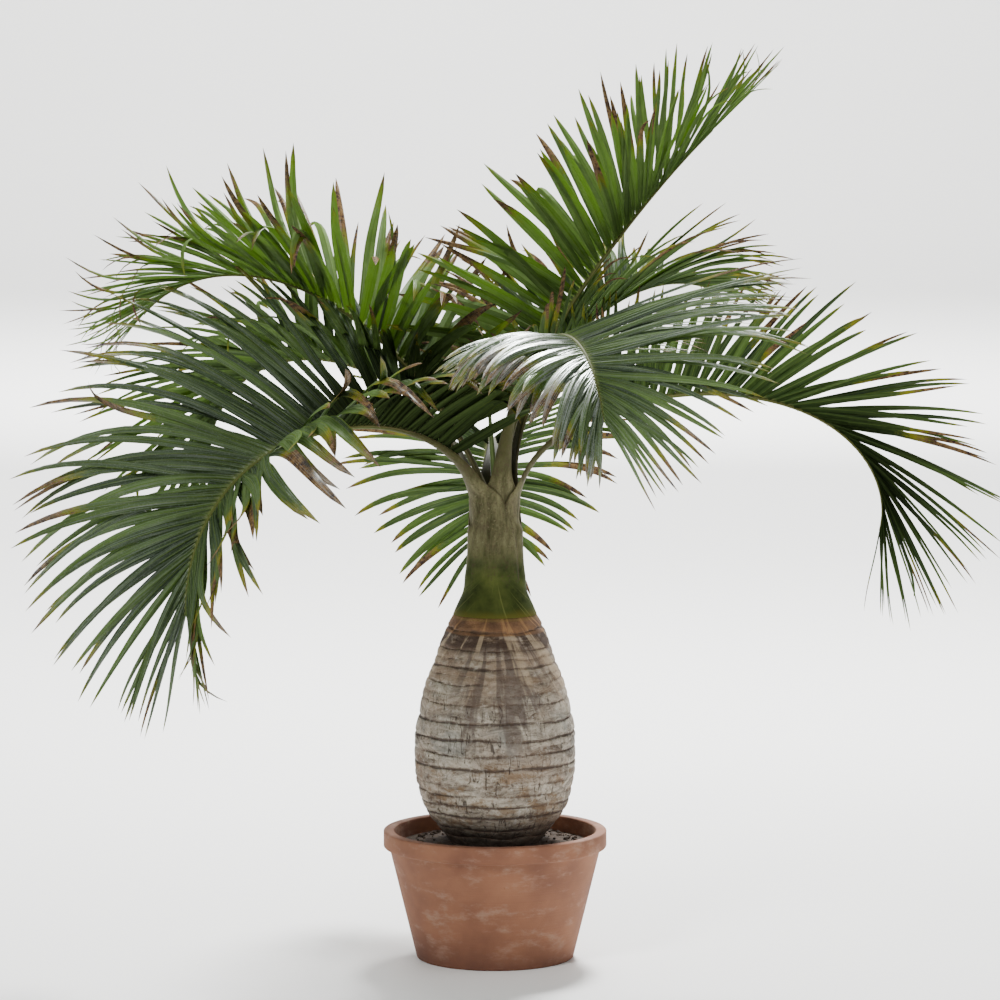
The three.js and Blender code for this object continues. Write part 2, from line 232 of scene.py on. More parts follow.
def rolled(bm, around, along, spot, note, layer):  # a sheet rolled to a closed tube, spot gives each point
    sheet = bmesh.ops.create_grid(bm, x_segments=around, y_segments=along, size=0.5)["verts"]
    for vert in sheet:
        u, v = vert.co.x + 0.5, vert.co.y + 0.5
        vert.co = spot(u, v)
        vert[layer] = note(u, v)
    bmesh.ops.remove_doubles(bm, verts=sheet, dist=0.00001)
    rims = [edge for edge in bm.edges if edge.is_boundary]
    bmesh.ops.holes_fill(bm, edges=rims, sides=0)
    return {face for vert in sheet if vert.is_valid for face in vert.link_faces}


def smoothFaces(bm, limit=None):  # edges that turn by more than the limit, in radians, stay sharp
    for face in bm.faces:
        face.smooth = True
    if limit:
        for edge in bm.edges:
            if len(edge.link_faces) == 2 and edge.calc_face_angle() > limit:
                edge.smooth = False


# pot and soil

# rimStep: how far the rim stands out; mouthLip: how far its inner edge leans in; edge: how round edges are
pot = {
    "height": 260, "rimRadius": 225, "rimDepth": 36, "rimStep": 12, "rimWidth": 21, "baseRadius": 158,
    "wall": 11, "floor": 14, "mouthLip": 4, "edge": 3.2, "outOfRound": 0.0025, "around": 96,
    "drains": 4, "drainRadius": 9, "drainCircle": 85,
}


def potRadius(height):
    top = pot["rimRadius"] - pot["rimStep"]
    return pot["baseRadius"] + (top - pot["baseRadius"]) * height / (pot["height"] - pot["rimDepth"])


def innerRadius(height):
    low = potRadius(pot["floor"]) - pot["wall"]
    high = pot["rimRadius"] - pot["rimWidth"] - pot["mouthLip"]
    return low + (high - low) * (height - pot["floor"]) / (pot["height"] - pot["mouthLip"] - pot["floor"])


def makeClay():
    clay = Finish("fired clay")
    here = clay.place()
    height = clay.split(here)["Z"]
    cloud = clay.grain(here, 9, 5)
    bloom = clay.ease(clay.grain(clay.place((1, 1, 2.4)), 14, 6, 0.7), 0.5, 0.72)
    damp = clay.ease(height + 0.05 * cloud, 0.02, 0.11, 0.55, 0)
    colour = clay.coats(clay.blotches(cloud, 0.3, 0.7, (112, 70, 50), (146, 100, 74), (129, 84, 61)),
                        (bloom * 0.5, (168, 136, 116)), (damp, (86, 52, 38)))
    rings = clay.grain(clay.place((0.4, 0.4, 90)), 2.4, 2)
    pits = clay.grain(here, 420, 2)
    return clay.close(clay.surface({
        "Base Color": colour, "Roughness": clay.ease(cloud, 0.2, 0.8, 0.78, 0.92),
        "Normal": clay.relief(rings * 0.7 + pits * 0.3, 0.35, 0.002)}))


def makePot(clay):
    height, rim, floor = pot["height"], pot["rimRadius"], pot["floor"]
    rimFoot = height - pot["rimDepth"]
    drainNear, drainFar = pot["drainCircle"] - pot["drainRadius"], pot["drainCircle"] + pot["drainRadius"]
    bm = bmesh.new()
    profileChain(bm, [
        (0, 0), (drainNear, 0), (drainFar, 0), (pot["baseRadius"], 0), (potRadius(rimFoot), rimFoot),
        (rim, rimFoot + 2), (rim, height), (rim - pot["rimWidth"], height),
        (innerRadius(floor), floor), (drainFar, floor), (drainNear, floor), (0, floor),
    ], [0, 0, 0, 11, 0, 2, 0, 5, 0, 0, 0])
    spun(bm, pot["around"])
    corners = [edge for edge in bm.edges if len(edge.link_faces) == 2 and edge.calc_face_angle() > 0.6]
    bmesh.ops.bevel(bm, geom=corners, offset=pot["edge"] * mm, affect="EDGES", segments=3, profile=0.5,
                    material=-1)
    for i in range(pot["drains"]):  # the faces in a drain's circle give way to a round wall
        turn = (i + 0.5) / pot["drains"] * 2 * math.pi
        centre = Vector((pot["drainCircle"] * math.cos(turn), pot["drainCircle"] * math.sin(turn), 0)) * mm
        low = [face for face in bm.faces if face.calc_center_median().z < (floor + 1) * mm]
        cut = [face for face in low
               if (face.calc_center_median() * Vector((1, 1, 0)) - centre).length < pot["drainRadius"] * mm]
        bmesh.ops.delete(bm, geom=cut, context="FACES")
        rims = [edge for edge in bm.edges if edge.is_boundary]
        bmesh.ops.bridge_loops(bm, edges=rims)
        for vert in {vert for edge in rims if edge.is_valid for vert in edge.verts}:
            out = Vector((vert.co.x, vert.co.y, 0)) - centre
            out = out.normalized() * pot["drainRadius"] * mm
            vert.co = (centre.x + out.x, centre.y + out.y, vert.co.z)
    for vert in bm.verts:  # a hand-made pot is never quite round
        turn = math.atan2(vert.co.y, vert.co.x)
        vert.co.xy *= 1 + pot["outOfRound"] * math.sin(2 * turn + 1) - pot["outOfRound"]
    smoothFaces(bm, 0.7)
    keepPiece("clay_pot", bm, [clay], "pot")


# fall, shoulder: how much lower it lies by the wall, and over what width; lift, clear: the gaps to the pot
soil = {
    "level": 238, "fall": 8, "shoulder": 40, "hole": 90, "lift": 0.3, "clear": 0.6, "around": 96,
    "rough": 3.5, "sink": 1, "crumbs": 420, "crumbSize": (2, 6),
}


def makeSoilFinish():
    earth = Finish("potting soil")
    here = earth.place()
    lumps = earth.grain(here, 55, 6, 0.7)
    fleck = earth.ease(earth.grain(here, 260, 2), 0.66, 0.72)
    colour = earth.coats(earth.blotches(lumps, 0.3, 0.75, (34, 25, 19), (92, 72, 54), (58, 43, 32)),
                         (fleck * 0.7, (150, 132, 108)))
    fine = earth.grain(here, 340, 3)
    return earth.close(earth.surface({
        "Base Color": colour, "Roughness": 0.95,
        "Normal": earth.relief(lumps * 0.6 + fine * 0.4, 0.8, 0.004)}))


def makeSoil(earth):
    level, hole = soil["level"], soil["hole"]
    edge = level - soil["fall"]
    wall = innerRadius(edge)
    bottom = pot["floor"] + soil["lift"]
    footRadius, footDepth = trunk["foot"]
    bm = bmesh.new()
    profileChain(bm, [
        (0, bottom), (innerRadius(pot["floor"]) - soil["clear"], bottom), (wall - soil["clear"], edge),
        (wall - soil["shoulder"], level - 2), (hole, level), (footRadius, level - footDepth),
        (0, level - footDepth),
    ], [0, 4, 9, 17, 0, 0])
    spun(bm, soil["around"])
    for vert in bm.verts:
        reach = math.hypot(vert.co.x, vert.co.y) / mm
        if vert.co.z > (edge - 1) * mm and hole + 1 < reach < wall - 1:
            vert.co.z += (soil["rough"] * noise.fractal(vert.co * 55, 0.8, 2.1, 4) - soil["sink"]) * mm
    small, large = soil["crumbSize"]
    for i in range(soil["crumbs"]):  # crumbs lie on the soil, most of them small
        turn = draw(i, 41) * 2 * math.pi
        reach = hole + 12 + (wall - hole - 22) * math.sqrt(draw(i, 42))
        size = small + (large - small) * draw(i, 43) ** 3
        drop = soil["fall"] * rise(wall - soil["shoulder"], wall, reach)
        spot = Vector((reach * math.cos(turn), reach * math.sin(turn), level - 2 - drop)) * mm
        turned = Matrix.Rotation(draw(i, 44) * 6, 4, "X") @ Matrix.Rotation(draw(i, 45) * 6, 4, "Z")
        squash = Matrix.Diagonal((1, 0.6 + 0.4 * draw(i, 46), 0.5 + 0.4 * draw(i, 47), 1))
        bmesh.ops.create_icosphere(bm, subdivisions=1, radius=size * mm,
                                   matrix=Matrix.Translation(spot) @ turned @ squash)
    smoothFaces(bm)
    keepPiece("soil_top", bm, [earth], "soil")


# trunk

# foot: radius and depth in the soil; bottle: (height, radius); rings, strength: the scars' heights and depths
# waver: how far a scar's line wanders; bulge: how far a belt swells; more: what the radius gains, by height
# calmEnds: over what height the relief fades at the foot and at the top
trunk = {
    "foot": (66, 45), "height": 460, "around": 160, "rowHeight": 2.6, "calmEnds": (14, 12),
    "bottle": [(0, 91), (20, 106), (50, 130), (80, 146), (115, 154.5), (150, 160), (190, 161.5), (226, 159),
               (256, 151), (290, 143.5), (327, 132), (362, 118), (400, 104), (434, 93), (460, 85)],
    "rings": [20, 39, 66, 89, 110, 133, 150, 167, 194, 209, 224, 257, 294, 313, 333, 349, 364, 381, 398, 416,
              434],
    "strength": [0.6, 0.8, 1, 0.8, 0.6, 0.5, 0.3, 1, 0.7, 0.3, 1, 0.8, 0.5, 0.35, 0.5, 0.4, 0.7, 0.4, 0.5,
                 0.3, 0.7],
    "ringDepth": 2.4, "ringWidth": 3, "waver": 4.5, "bulge": 0.5, "lumps": 2.0,
    "more": [(0, 0), (60, 1), (200, 0.5), (270, 3), (320, 5), (410, 5.5), (440, 2.5), (452, -0.5),
             (460, -1.5)],
}


def ringAt(turn, height):  # how deep in a ring groove a point lies, and how far up its belt
    deep, low, high = 0, 0, trunk["height"]
    for i, level in enumerate(trunk["rings"]):
        flow = Vector((1.7 * math.cos(turn), 1.7 * math.sin(turn), i * 3.7))
        fine = Vector((8 * math.cos(turn), 8 * math.sin(turn), i * 5.1))
        line = level + trunk["waver"] * noise.noise(flow) + 0.4 * trunk["waver"] * noise.noise(fine)
        away = (height - line) / (trunk["ringWidth"] * (1 + 0.6 * noise.noise(flow * 2.3)))
        share = trunk["strength"][i] * (1.1 + 0.7 * noise.noise(flow * 1.4 + Vector((0, 0, 9))))
        share += 0.25 * noise.noise(fine)
        deep = max(deep, math.exp(-away * away) * min(max(share, 0), 1))
        if line <= height:
            low = line
        elif high == trunk["height"]:
            high = line
    return deep, (height - low) / max(high - low, 1)


# meet: the height where the lines would meet; fine: how close they stand; shift: which of them show
fibres = {"meet": 560, "fine": 420, "shift": 3.2}
stripes = {"meet": 560, "fine": 760, "shift": 9.7}


def fan(finish, height, here, lines, low, high):  # lines that spread down over the front
    axes = finish.split(here)
    bearing = axes["X"].math("ARCTAN2", axes["X"], axes["Y"] * -1)
    across = bearing * lines["fine"] / abs(lines["meet"] - height) + lines["shift"]
    spread = finish.add("ShaderNodeCombineXYZ", {}, {"X": across, "Y": height * 0.003, "Z": 0.5})["Vector"]
    front = finish.ease(axes["Y"], 0.03, -0.02)
    return finish.ease(finish.grain(spread, 1.5, 3, 0.6), low, high) * front


def makeBark():  # heights in mm over the soil
    bark = Finish("ringed bark")
    here = bark.place()
    squat, low = bark.place((1, 1, 3)), bark.place((1, 1, 2))  # patches wider than high
    height = bark.split(here)["Z"] * 1000 - soil["level"]
    ring = bark.add("ShaderNodeAttribute", {"attribute_name": "ring"}, {})["Fac"]
    cloud = bark.grain(here, 8, 5, 0.6)
    level = bark.grain(squat, 15, 8, 0.76, 0.8)
    pits = bark.grain(here, 110, 4, 0.7)
    # warm at the top, bluish over the middle, ochre near the ground
    warm = bark.ease(height + 90 * cloud, 300, 390) * bark.ease(bark.grain(squat, 11, 4), 0.36, 0.6)
    belly = bark.ease(height, 170, 205) * bark.ease(height, 285, 250)
    blue = belly * bark.ease(bark.grain(here, 16, 4), 0.46, 0.6)
    near = bark.ease(height, 20, 60) * bark.ease(height, 195, 150)
    ochre = near * bark.ease(bark.grain(low, 22, 5, 0.7), 0.5, 0.6)
    # short upright cracks in some of the belts
    split = bark.grain(bark.aroundTrunk(0.9), 11, 2, 0.5)
    where = bark.ease(bark.grain(bark.aroundTrunk(6), 5, 2), 0.47, 0.53) * bark.ease(height, 330, 290)
    crack = bark.ease(abs(split - 0.5), 0.016, 0.004) * where
    # dark stripes down the middle of the front, a dark band near the top, pale fibres from the leaf bases
    middle = bark.ease(abs(bark.split(here)["X"] - 0.015), 0.12, 0.06)
    stripe = fan(bark, height, here, stripes, 0.47, 0.56) * bark.ease(height + 60 * cloud, 205, 265) * middle
    dusk = bark.ease(height + 22 * cloud, 396, 420) * bark.ease(bark.grain(low, 12, 5, 0.7), 0.4, 0.52)
    threads = fan(bark, height, here, fibres, 0.56, 0.63)
    fade = bark.ease(height + 70 * cloud, 270, 370)
    colour = bark.coats(
        bark.blotches(level, 0.34, 0.66, (66, 52, 40), (196, 186, 168), (150, 138, 120)),
        (bark.ease(cloud, 0.48, 0.64) * 0.5, (134, 112, 92)),
        (bark.ease(pits, 0.54, 0.66) * 0.6, (72, 58, 46)),
        (bark.ease(pits, 0.44, 0.34) * 0.4, (196, 190, 178)),
        (warm * 0.55, (142, 116, 90)), (blue * 0.4, (132, 138, 134)), (ochre * 0.6, (116, 88, 56)),
        (crack * 0.8, (52, 42, 34)), (stripe * 0.7, (80, 67, 60)), (dusk * 0.9, (58, 40, 28)),
        (threads * fade * 0.65, (178, 158, 130)))
    # the rusty band under the leaf bases
    coarse = bark.grain(here, 30, 5, 0.65)
    rust = bark.coats(bark.blotches(coarse, 0.3, 0.7, (74, 50, 34), (136, 100, 68), (104, 73, 50)),
                      (threads * 0.6, (170, 128, 84)))
    colour = bark.mix(bark.ease(height + 8 * cloud, 429, 433), colour, rust)
    # green-yellow at the very top, darker towards the foot, and in the ring grooves the scars' own stain with
    # painted shade
    foot = bark.ease(height + 40 * level, 110, 20)
    # the scars' own stain together with painted shade in the grooves
    scarStainAndShade = ring * bark.ease(pits, 0.3, 0.6)
    colour = bark.coats(
        colour, (bark.ease(height + 8 * cloud, 456, 461) * 0.4, (118, 98, 40)), (foot * 0.8, (44, 33, 24)),
        (bark.ease(scarStainAndShade, 0.05, 0.5) * 0.6, (88, 70, 56)), (bark.ease(ring, 0.5, 0.98) * 0.8, (62, 49, 40)))
    relief = level * 0.5 + pits * 0.25 - crack * 0.4 - bark.ease(ring, 0.3, 0.9) * 0.5
    return bark.close(bark.surface({
        "Base Color": colour, "Roughness": bark.ease(level, 0.3, 0.7, 0.95, 0.8),
        "Normal": bark.relief(relief, 0.9, 0.006)}))


def makeTrunk(bark):
    footRadius, footDepth = trunk["foot"]
    top = trunk["height"]
    bottle = [(radius, height) for height, radius in trunk["bottle"]]
    points = [(0, -footDepth), (footRadius, -footDepth), *bottle, (0, top)]
    points = [(radius, height + soil["level"]) for radius, height in points]
    spans = [abs(high[1] - low[1]) for low, high in zip(points, points[1:])]
    cuts = [max(round(span / trunk["rowHeight"]) - 1, 0) for span in spans]
    cuts[1] = 2  # the foot's side is in the soil, where nobody sees it
    bm = bmesh.new()
    ring = bm.verts.layers.float.new("ring")
    profileChain(bm, points, cuts)
    spun(bm, trunk["around"])
    for vert in bm.verts:
        height = vert.co.z / mm - soil["level"]
        reach = math.hypot(vert.co.x, vert.co.y) / mm
        if height < 0 or reach < bottle[-1][0] - 5:  # the foot and the flat top stay as they are
            continue
        turn = math.atan2(vert.co.y, vert.co.x)
        deep, belt = ringAt(turn, height)
        calm = rise(0, trunk["calmEnds"][0], height) * rise(top, top - trunk["calmEnds"][1], height)
        radius = smoothRead(trunk["bottle"], height)
        swell = trunk["bulge"] * math.sin(math.pi * min(belt, 1)) ** 0.6
        radius -= calm * (trunk["ringDepth"] * deep - swell)
        lump = Vector((3 * math.cos(turn), 3 * math.sin(turn), height / 55))
        radius += calm * trunk["lumps"] * noise.fractal(lump, 1, 2, 3) + smoothRead(trunk["more"], height)
        vert.co.xy *= radius / reach
        vert[ring] = deep * calm
    smoothFaces(bm)
    keepPiece("ringed_trunk", bm, [bark], "trunk")


# crownshaft: the core under the leaf bases, in mm above the soil

# tube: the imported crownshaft's (height, radius); mouth: its rim's width; waist, flank: the core's own shape
# margins, turn, phase, lip: how many edges of leaf bases run up the core, how far round, from where, how high
crown = {
    "top": 700, "around": 120, "rowHeight": 5,
    "tube": [(460, 84), (478, 77), (500, 68.5), (525, 61.5), (555, 56.5), (590, 54), (630, 53.5), (665, 53.5),
             (690, 55), (900, 55)],
    "margins": 3, "lip": 1.6, "turn": 0.35, "phase": 0.55, "mouth": 6, "waist": 3.5, "flank": 4.6,
    "under": 1.5, "gap": 0.3,  # how far the core stays inside the tube, and what stays free over the trunk
}


def baseColour(finish, here, height):  # from yellow-green at the trunk to scurfy olive grey at the top
    cloud = finish.grain(here, 14, 5, 0.6)
    fibre = finish.grain(finish.place((1, 1, 0.05)), 90, 3)
    threads = fan(finish, height, here, fibres, 0.6, 0.64) * finish.ease(height, 545, 490)
    green = finish.coats(finish.blotches(cloud, 0.35, 0.68, (38, 48, 16), (86, 94, 44), (60, 71, 28)),
                         (threads * 0.5, (118, 122, 66)))
    streaks = finish.grain(finish.place((1, 1, 0.25)), 60, 5, 0.7)
    olive = finish.blotches(streaks, 0.34, 0.68, (64, 62, 38), (120, 116, 84), (90, 88, 57))
    yellow = finish.ease(height + 40 * cloud, 498, 474)
    scurf = finish.ease(finish.grain(here, 190, 3), 0.6, 0.72) * finish.ease(height, 560, 620)
    plum = finish.ease(finish.grain(here, 22, 3), 0.54, 0.7) * finish.ease(height, 560, 640)
    colour = finish.coats(
        finish.mix(finish.ease(height + 60 * cloud, 565, 650), green, olive),
        (yellow * 0.6, (112, 104, 40)), (scurf * 0.4, (142, 136, 104)), (plum * 0.4, (70, 52, 48)))
    return colour, fibre


def makeBaseFinish():
    leafBase = Finish("leaf base")
    here = leafBase.place()
    height = leafBase.split(here)["Z"] * 1000 - soil["level"]
    colour, fibre = baseColour(leafBase, here, height)
    return leafBase.close(leafBase.surface({
        "Base Color": colour, "Roughness": 0.7, "Specular IOR Level": 0.12,
        "Normal": leafBase.relief(fibre, 0.25, 0.002)}))


def makeCrownCore(leafBase):
    low, top, waist = trunk["height"], crown["top"], crown["waist"]
    points = [(radius, height + crown["gap"]) for height, radius in crown["tube"][:-1]]
    rim = points[-1][0] - crown["mouth"]
    outline = [(0, low + crown["gap"]), *points, (rim, top), (rim / 2, top - crown["mouth"]),
               (0, top - crown["mouth"])]
    outline = [(radius, height + soil["level"]) for radius, height in outline]
    spans = [abs(high[1] - low[1]) for low, high in zip(outline, outline[1:])]
    bm = bmesh.new()
    profileChain(bm, outline, [round(span / crown["rowHeight"]) for span in spans])
    spun(bm, crown["around"])
    for vert in bm.verts:
        height = vert.co.z / mm - soil["level"]
        reach = math.hypot(vert.co.x, vert.co.y) / mm
        if reach < rim + 1:
            continue
        turn = math.atan2(vert.co.y, vert.co.x)
        # drawn in under the leaf bases and at the waist, with their edges on it, and swelling at two sides
        climbed = (height - low) / (top - low)
        way = turn / (2 * math.pi) * crown["margins"] + climbed * crown["turn"] + crown["phase"]
        lip = crown["lip"] * min(1, 2 * climbed) * (way - math.floor(way))
        drawnIn = (crown["lip"] + crown["under"]) * rise(462, 520, height)
        radius = smoothRead(crown["tube"], height) - drawnIn + lip
        radius -= (waist + crown["under"]) * rise(625, 660, height)
        swell = rise(500, 540, height) * rise(655, 625, height)
        radius += crown["flank"] * rise(0.8, 0.97, abs(math.cos(turn))) * swell
        vert.co.xy *= radius / reach
    smoothFaces(bm, 0.8)
    keepPiece("crownshaft_core", bm, [leafBase], "crownshaft")


# fronds: up to roll the model's own values, in mm and degrees; lists are read evenly from crown to tip
# seat: bearing and distance from the axis; heading: bearings at both ends; first: where the leaflets begin
# reach, angle, lift, droop: how long a leaflet is, how it leaves the stalk, how far it is raised and hangs
# uneven: what one hand's leaflets have otherwise, as shares of reach, angle, droop and wide, or added
# sheath: how far the leaf base stands out, how much it wraps; slim, thick: shares of the waist and its wall
# tone, shine: how bright and silvery; burn, curl: how many leaflets have dry tips, and are curled
# wide, thin: a share of the width, its loss towards the tip; strap: from 0 pointed to 1 blunt; fold: how deep
# stride: the step from place to place, where the model's is 2 or 3; packed: past this share of the places
# two stand for one; early: places before the first

fronds = {
    "frond_front_left": {
        "seat": (217, 40), "heading": (217, 244), "climb": [65, 4, -26, -89], "length": 1010, "count": 46,
        "first": 0.13, "reach": [330, 490, 240], "angle": [90, 58, 16], "lift": [44, 35, 34],
        "droop": [0.08, 0.7, 0.5], "roll": [10, 10],
        "uneven": {"hand": 1, "reach": 0.85, "lift": 4, "wide": 1.35, "curl": 0.6, "dry": 0.2, "tone": 0.2,
                   "strap": 1},
        "sheath": (5.0, 1.0), "tone": 0.1, "burn": 0.35, "curl": 0.12, "shine": 0.2, "fold": 0.7, "early": 2},
    "frond_high_left": {
        "seat": (180, 16), "heading": (176, 191), "climb": [69, 48, 17, -51], "length": 910, "count": 46,
        "first": 0.15, "reach": [320, 430, 170], "angle": [92, 62, 30], "lift": [50, 24, 12],
        "droop": [0.2, 0.2], "roll": [0, 0],
        "sheath": None, "tone": 1, "burn": 0.7, "curl": 0.6, "stride": 1, "wide": 1.05, "shine": 0.08,
        "strap": 0.8, "fold": 1.5, "thin": 0.5, "packed": 0.45},
    "frond_back_left": {
        "seat": (157, 40), "heading": (161, 160), "climb": [70, 32, -17, -100], "length": 820, "count": 46,
        "first": 0.25, "reach": [300, 400, 210], "angle": [82, 64, 16], "lift": [50, 32, 26],
        "droop": [0.42, 0.42], "roll": [8, 8],
        "sheath": (1.6, 0.8), "tone": 0.35, "burn": 0.45, "curl": 0.2, "stride": 1, "wide": 0.95,
        "fold": 1.5},
    "frond_upright": {
        "seat": (0, 16), "heading": (3, 14), "climb": [90, 63, 52, 43], "length": 860, "count": 32,
        "first": 0.3, "reach": [370, 335, 235], "angle": [98, 62, 12], "lift": [66, 50, 25],
        "droop": [0.3, 0.1], "roll": [15, -10], "uneven": {"hand": -1, "reach": 0.9},
        "sheath": None, "tone": 0.72, "burn": 0.6, "curl": 0.35, "stride": 1, "wide": 0.95, "fold": 2,
        "strap": 1, "thin": 0.5, "packed": 0.45},
    "frond_front": {
        "seat": (286, 40), "heading": (286, 283), "climb": [81, 35, 0, -60], "length": 960, "count": 46,
        "first": 0.37, "reach": [300, 460, 210], "angle": [82, 74, 26], "lift": [14, 31, 46],
        "droop": [0.4, 0.4], "roll": [8, 8],
        "uneven": {"hand": -1, "reach": 0.66, "angle": 0.72, "lift": -30, "droop": 2.4, "shine": 0.52,
                   "wide": 1.3, "strap": 1},
        "sheath": (2.4, 0.75), "tone": 0.22, "burn": 0.6, "curl": 0.03, "wide": 0.85, "shine": 0.14},
    "frond_right": {
        "seat": (347, 40), "heading": (355, 339), "climb": [73, 14, -19, -106], "length": 970, "count": 46,
        "first": 0.18, "reach": [280, 285, 370, 160], "angle": [60, 62, 20, 12], "lift": [64, 58, 40],
        "droop": [0.1, 0.2], "roll": [0, 0],
        "sheath": (3.4, 0.72), "tone": 0.02, "burn": 0.4, "curl": 0.12, "stride": 1, "wide": 0.78, "shine": 0,
        "fold": 1.5, "thin": 0.42},
    "frond_back_right": {
        "seat": (38, 40), "heading": (33, 57), "climb": [90, 49, 14, -16], "length": 820, "count": 36,
        "first": 0.18, "reach": [330, 330, 160], "angle": [76, 46, 22], "lift": [58, 33, 20],
        "droop": [0.6, 0.6], "roll": [0, 0], "uneven": {"hand": 1, "reach": 0.85},
        "sheath": (1.2, 0.8), "tone": 0.2, "burn": 0.85, "curl": 0.15, "wide": 0.95, "fold": 1.6,
        "strap": 0.4, "thin": 0.3},
    "frond_back": {
        "seat": (93, 40), "heading": (91, 97), "climb": [60, -6, -29, -84], "length": 790, "count": 34,
        "first": 0.18, "reach": [272, 384, 160], "angle": [82, 62, 42], "lift": [42, 26, 18],
        "droop": [0.47, 0.47], "roll": [0, 0],
        "sheath": (4.6, 1.0), "slim": 0.3, "thick": 2.8, "tone": 0.1, "burn": 0.6, "curl": 0.1, "stride": 1,
        "wide": 0.95, "fold": 1.8, "strap": 0.7},
}

# turnGathering: over 1, the bearing turns mostly near the tip; under: how far a leaf base starts in the tube
# emerge: where, past the crown's top, it comes out of the core; heart: the middle of the crown, where the
# stems get painted shade
stalk = {
    "width": [28, 17, 12.5, 8.5, 3.5], "thickness": [13, 12, 10, 7, 3], "steps": 120, "turnGathering": 1.5,
    "seatDepth": 38, "around": 16, "rowLength": 10, "under": 5, "emerge": (-215, -140),
    "heart": (-0.01, 0.075, 1.02),
    # by distance past the crown's top: half of the wrap, its bend radius, its thickness, its share of push
    "wrap": [(-220, 118), (-94, 100), (-50, 82), (0, 58), (33, 34), (70, 23), (120, 15), (170, 11),
             (240, 8.6)],
    "bend": [(0, 56), (33, 46), (70, 30), (120, 19), (170, 15), (240, 40), (330, 300)],
    "wall": [(-220, 2), (-60, 3), (0, 4.5), (33, 7), (70, 9.5), (120, 12), (170, 12.4)],
    "push": [(0, 1), (35, 0.55), (80, 0.15), (120, 0)],
}

# handShift: how far one hand's places are moved; crowding: under 1, places stand closer near the tip
# bunch, bunchSpread, gather: places in a bunch, how far its middle wanders, degrees that a place leans to it
# curled, plain: how strongly such a leaflet bends, and the draw that leaves it straight
# endLoss: what the width of the last leaflets loses; dryTip, dryMore: shares of the length that are dry
# outline, strap: half of the width along a pointed and a blunt leaflet; fold: how far its edges hang
leaflet = {
    "rows": 12, "across": 2, "halfWidth": 8.8, "ridge": 1.6, "thick": 0.5, "twist": [8, 12, 24],
    "stride": 2 / 3, "rootOffset": 0.2, "crowding": 0.95, "handShift": 0.25, "angleSpread": 8,
    "liftSpread": 8, "reachRange": [0.9, 1.06], "droopRange": [0.6, 1.5], "droopGathering": 1.8,
    "bunch": 2.7, "bunchSpread": 0.7, "gather": 2.2, "curled": (2.6, 0.35), "plain": (0.3, 0.5), "sway": 0.3,
    "widthSpread": 0.24, "endLoss": 0.45, "toneSpread": 0.7, "dryTip": 0.03, "dryMore": 0.42,
    # painted shade where leaflets shade one another: the crown, the comb before it, behind the shaft, the
    # bend at the right
    "shades": [((-0.06, 0, 1.08), 0.08, 0.3), ((-0.14, -0.2, 1.04), 0.18, 0.32), ((0, 0.15, 0.94), 0.06, 0.3),
               ((0.74, -0.15, 0.99), 0.04, 0.26)],
    "outline": [(0, 0.8), (0.06, 1), (0.16, 1.1), (0.35, 1.12), (0.5, 1), (0.65, 0.78), (0.8, 0.56),
                (0.92, 0.36), (1, 0.08)],
    "strap": [(0, 0.4), (0.06, 0.62), (0.16, 0.88), (0.35, 1.06), (0.5, 1.1), (0.65, 1.02), (0.8, 0.8),
              (0.92, 0.5), (1, 0.1)],
    "fold": [(0, 0.5), (0.25, 0.22), (0.6, 0.24), (1, 0.3)],
}


def walkStalk(frond):
    direction, distance = frond["seat"]
    turn = math.radians(direction)
    place = Vector((distance * math.cos(turn), distance * math.sin(turn), soil["level"] + crown["top"]))
    stride = frond["length"] / stalk["steps"]
    steps = []
    for i in range(stalk["steps"] + 1):
        s = i / stalk["steps"]
        climb = math.radians(through(frond["climb"], s))
        start, end = frond["heading"]
        heading = math.radians(start + (end - start) * s ** stalk["turnGathering"])
        level = Vector((math.cos(heading), math.sin(heading), 0))
        forward = level * math.cos(climb) + Vector((0, 0, math.sin(climb)))
        up = level * -math.sin(climb) + Vector((0, 0, math.cos(climb)))
        if steps:
            place = place + (forward + steps[-1][1]) * stride / 2
        steps.append((place.copy(), forward, up, up.cross(forward)))
    return steps


def stalkAt(steps, s):
    place = min(max(s, 0) * stalk["steps"], stalk["steps"] - 0.001)
    i = math.floor(place)
    point, forward, up = (a.lerp(b, place - i) for a, b in zip(steps[i][:3], steps[i + 1][:3]))
    forward.normalize()
    up.normalize()
    return point, forward, up, up.cross(forward).normalized()


